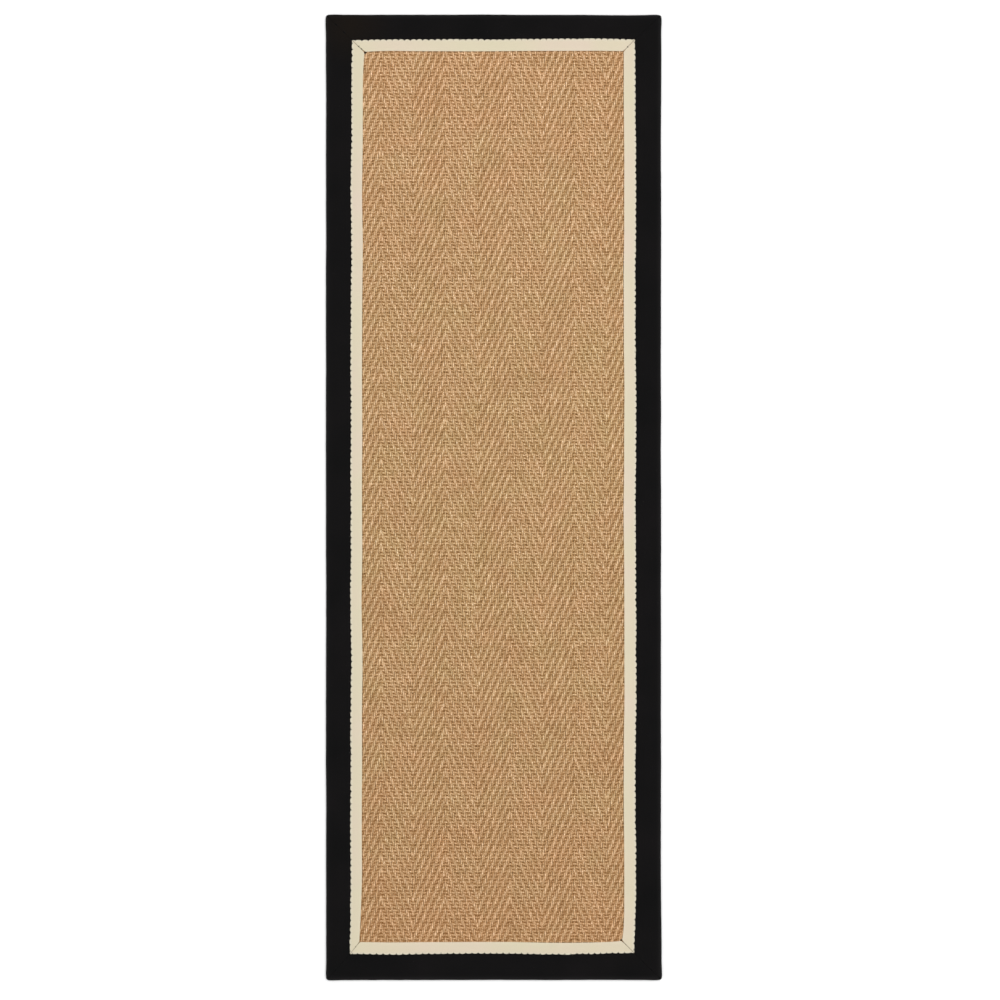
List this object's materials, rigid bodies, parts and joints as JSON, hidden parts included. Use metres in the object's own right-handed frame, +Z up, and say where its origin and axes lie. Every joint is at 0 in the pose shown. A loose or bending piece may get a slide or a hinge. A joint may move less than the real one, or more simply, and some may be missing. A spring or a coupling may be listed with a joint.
{
  "type": "runner rug",
  "caption": "Long narrow floor runner: herringbone-woven sisal field on latex, with a flat accent ribbon and a wide mitred fabric binding folded over the edges.",
  "frame": {"origin": "middle of the underside, which lies on the floor at z = 0", "axes": "+Y along the runner, +X across it, +Z up out of the woven face"},
  "size_m": [0.686, 1.981, 0.0082],
  "materials": {
    "sisal": "matt twisted sisal yarn",
    "latex": "matt textured latex",
    "black_cotton": "matt cotton canvas",
    "cream_cotton": "matt cotton twill",
    "black_thread": "waxed thread",
    "cream_thread": "matt thread",
    "mitre_thread": "matt thread",
    "glue": "dried hot-melt"
  },
  "bodies": {
    "root": {"sisal_cloth": "sisal", "latex_backing": "latex", "binding_right": "black_cotton", "binding_head": "black_cotton", "binding_left": "black_cotton", "binding_foot": "black_cotton", "accent_ribbon_right": "cream_cotton", "accent_ribbon_head": "cream_cotton", "accent_ribbon_left": "cream_cotton", "accent_ribbon_foot": "cream_cotton", "binding_stitches_right": "black_thread", "binding_stitches_head": "black_thread", "binding_stitches_left": "black_thread", "binding_stitches_foot": "black_thread", "ribbon_seam_thread_right": "cream_thread", "ribbon_seam_thread_head": "cream_thread", "ribbon_seam_thread_left": "cream_thread", "ribbon_seam_thread_foot": "cream_thread", "flap_glue_right": "glue", "flap_glue_head": "glue", "flap_glue_left": "glue", "flap_glue_foot": "glue", "binding_mitre_stitches_head_right": "black_thread", "binding_mitre_stitches_head_left": "black_thread", "binding_mitre_stitches_foot_left": "black_thread", "binding_mitre_stitches_foot_right": "black_thread", "ribbon_mitre_stitches_head_right": "mitre_thread", "ribbon_mitre_stitches_head_left": "mitre_thread", "ribbon_mitre_stitches_foot_left": "mitre_thread", "ribbon_mitre_stitches_foot_right": "mitre_thread"}
  },
  "joints": []
}
